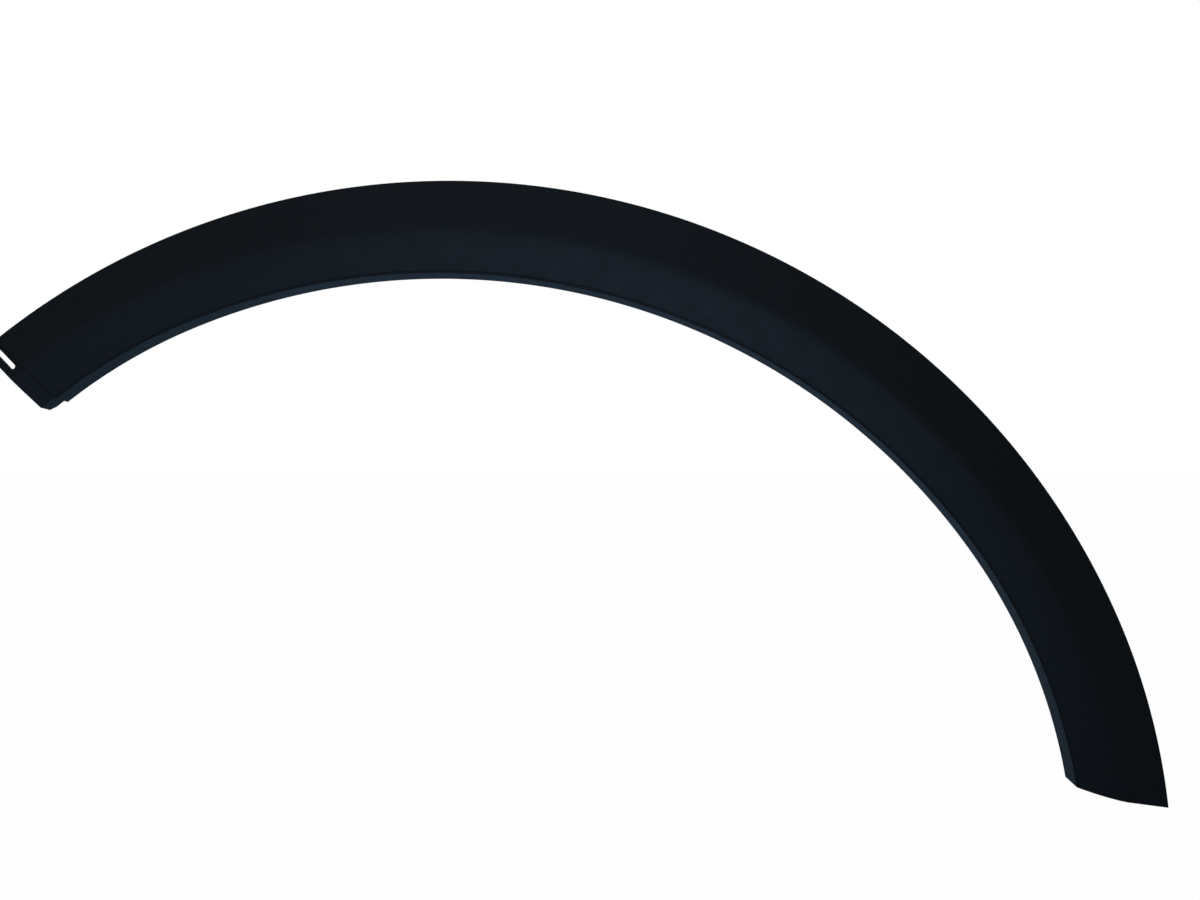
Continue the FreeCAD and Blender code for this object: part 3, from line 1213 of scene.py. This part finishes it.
@dataclass(frozen=True)
class BackLayout:
    """Where the features on the back stand."""

    section: StripSection
    tower_count: int = 6
    tower_first: float = -30.0
    tower_pitch: float = 20.6
    tower_inset: float = 29.0
    gussets_per_bay: int = 2
    crown_pin: float = 0.0
    side_pin: float = 62.7

    def tower_angles(self) -> list[float]:
        """Angles of the clip towers."""
        return [self.tower_first + self.tower_pitch * index for index in range(self.tower_count)]

    def gusset_angles(self) -> list[float]:
        """Angles of the gussets, spread evenly over the bays between towers."""
        step = self.tower_pitch / (self.gussets_per_bay + 1)
        return [tower + step * (index + 1)
                for tower in self.tower_angles()[:-1] for index in range(self.gussets_per_bay)]

    def build(self, workshop: Workshop) -> None:
        """Build all towers, gussets and pins.

        Args:
            workshop: Makes the pieces.
        """
        for index, angle in enumerate(self.tower_angles(), start=1):
            place = BackPlace(self.section, angle, self.tower_inset)
            ClipTower(place).build(workshop, f"clip_tower_{index}")
        for index, angle in enumerate(self.gusset_angles(), start=1):
            FlangeGusset(self.section, angle).build(workshop, f"flange_gusset_{index}")
        for name, angle in (("crown_pin", self.crown_pin), ("side_pin", self.side_pin)):
            place = BackPlace(self.section, angle, self.section.course.crown_inset)
            LocatingPin(place).build(workshop, name)


@dataclass(frozen=True)
class SoftLamp:
    """A soft box: where it stands, its size in metres, power, colour and what it looks at."""

    name: str
    place: Place
    size: tuple[float, float]
    power: float
    colour: Colour = WHITE
    target: Place = (0.08, 0.0, -0.12)

    def build(self) -> bpy.types.Object:
        """Hang the lamp.

        Returns:
            The lamp.
        """
        lamp = bpy.data.lights.new(self.name, "AREA")
        lamp.shape = "RECTANGLE"
        lamp.size, lamp.size_y = self.size
        lamp.energy = self.power
        lamp.color = self.colour
        made = bpy.data.objects.new(self.name, lamp)
        made.location = self.place
        made.visible_camera = False
        gaze = Vector(self.target) - Vector(self.place)
        made.rotation_euler = gaze.to_track_quat("-Z", "Y").to_euler()
        bpy.context.scene.collection.objects.link(made)
        return made


@dataclass(frozen=True)
class Studio:
    """Pale floor, white surround, soft lamps and the camera.

    The lamps in front are white. The floor and the lamps behind are bluish, because the lip mirrors them.
    """

    view_centre: Point = (91.1, -139.4)
    view_distance: float = 1200.0
    view_width: float = 720.0
    sensor: float = 36.0
    floor_gap: float = 2.0
    floor_size: float = 30.0
    floor_colour: Colour = (0.46, 0.66, 0.84)
    floor_roughness: float = 0.9
    floor_glow: float = 0.985
    surround: Colour = (0.134, 0.134, 0.134)
    lamps: tuple[SoftLamp, ...] = (
        SoftLamp("front_box", place=(0.15, -1.3, 0.11), size=(0.4, 0.3), power=9.2),
        SoftLamp("left_box", place=(-1.3, -1.5, 0.25), size=(0.9, 0.9), power=7.0),
        SoftLamp("top_box", place=(0.0, -1.0, 1.5), size=(1.4, 1.0), power=6.8),
        SoftLamp("back_box", place=(-0.2, 1.6, 0.3), size=(1.5, 0.6), power=5.5, colour=(0.38, 0.66, 1.0)),
        SoftLamp("side_box", place=(1.4, 1.3, 0.0), size=(0.7, 0.5), power=7.0, colour=(0.70, 0.85, 1.0)),
    )

    def build(self) -> None:
        """Set up the whole studio."""
        self.build_floor()
        self.build_world()
        for lamp in self.lamps:
            lamp.build()
        self.build_camera()
        bpy.context.scene.view_settings.view_transform = "Standard"

    def build_camera(self) -> None:
        """Set the camera square to the face."""
        lens = bpy.data.cameras.new("camera")
        lens.sensor_fit = "HORIZONTAL"
        lens.sensor_width = self.sensor
        lens.lens = self.sensor * self.view_distance / self.view_width
        lens.dof.use_dof = False
        made = bpy.data.objects.new("camera", lens)
        made.location = (self.view_centre[0] * MM, -self.view_distance * MM, self.view_centre[1] * MM)
        made.rotation_euler = (math.pi / 2.0, 0.0, 0.0)
        bpy.context.scene.collection.objects.link(made)
        bpy.context.scene.camera = made

    def build_floor(self) -> None:
        """Lay a plain floor just below the part."""
        half = self.floor_size / 2.0
        level = cad_box[0].z - self.floor_gap * MM
        corners = [(-half, -half, level), (half, -half, level), (half, half, level), (-half, half, level)]
        mesh = bpy.data.meshes.new("floor")
        mesh.from_pydata(corners, [], [(0, 1, 2, 3)])
        mesh.materials.append(self.floor_finish())
        floor = bpy.data.objects.new("floor", mesh)
        bpy.context.scene.collection.objects.link(floor)

    def floor_finish(self) -> bpy.types.Material:
        """Make the floor's material: near white where it is seen directly, with the shadow kept.

        Returns:
            The new material.
        """
        finish = bpy.data.materials.new("pale_floor")
        finish.use_nodes = True
        tree = finish.node_tree
        matte = tree.nodes["Principled BSDF"]
        matte.inputs["Base Color"].default_value = opaque(self.floor_colour)
        matte.inputs["Roughness"].default_value = self.floor_roughness
        matte.inputs["Specular IOR Level"].default_value = 0.0
        glow = tree.nodes.new("ShaderNodeEmission")
        glow.inputs["Color"].default_value = opaque(WHITE)
        share = tree.nodes.new("ShaderNodeMath")
        share.operation = "MULTIPLY"
        share.inputs[1].default_value = self.floor_glow
        tree.links.new(tree.nodes.new("ShaderNodeLightPath").outputs["Is Camera Ray"], share.inputs[0])
        self.blend(tree, (share, matte, glow), "Material Output")
        return finish

    def build_world(self) -> None:
        """Surround the part with a dim even light that the camera sees as white."""
        world = bpy.data.worlds.new("surround")
        world.use_nodes = True
        tree = world.node_tree
        dim = tree.nodes["Background"]
        dim.inputs["Color"].default_value = opaque(self.surround)
        white = tree.nodes.new("ShaderNodeBackground")
        white.inputs["Color"].default_value = opaque(WHITE)
        path = tree.nodes.new("ShaderNodeLightPath")
        direct = tree.nodes.new("ShaderNodeMath")
        direct.operation = "MAXIMUM"
        tree.links.new(path.outputs["Is Camera Ray"], direct.inputs[0])
        tree.links.new(path.outputs["Is Transmission Ray"], direct.inputs[1])
        self.blend(tree, (direct, dim, white), "World Output")
        bpy.context.scene.world = world

    def blend(self, tree: bpy.types.NodeTree, sources: Sequence[bpy.types.Node], output: str) -> None:
        """Blend two shaders into an output.

        Args:
            tree: Node tree to add to.
            sources: Nodes that give the share of the second shader, the first shader and the second.
            output: Name of the output node.
        """
        mix = tree.nodes.new("ShaderNodeMixShader")
        for source, socket in zip(sources, mix.inputs):
            tree.links.new(source.outputs[0], socket)
        tree.links.new(mix.outputs[0], tree.nodes[output].inputs["Surface"])


def main() -> None:
    """Build the trim, its back and the studio."""
    logging.basicConfig(level=logging.INFO, format="%(name)s: %(message)s")
    section = StripSection()
    left_end = CutLine(angle=-39.7, skew=7.5, side=-1.0)
    right_end = CutLine(angle=81.8, skew=-22.5, side=1.0, bulge=1.2, draft=5.0)
    workshop = Workshop()
    tongue = LapTongue(section, left_end)
    MouldedStrip(section, left_end.back(tongue.length), right_end).build(workshop)
    tongue.build(workshop)
    BackLayout(section).build(workshop)
    EndWeb(section, right_end).build(workshop)
    Studio().build()


if __name__ == "__main__":
    main()
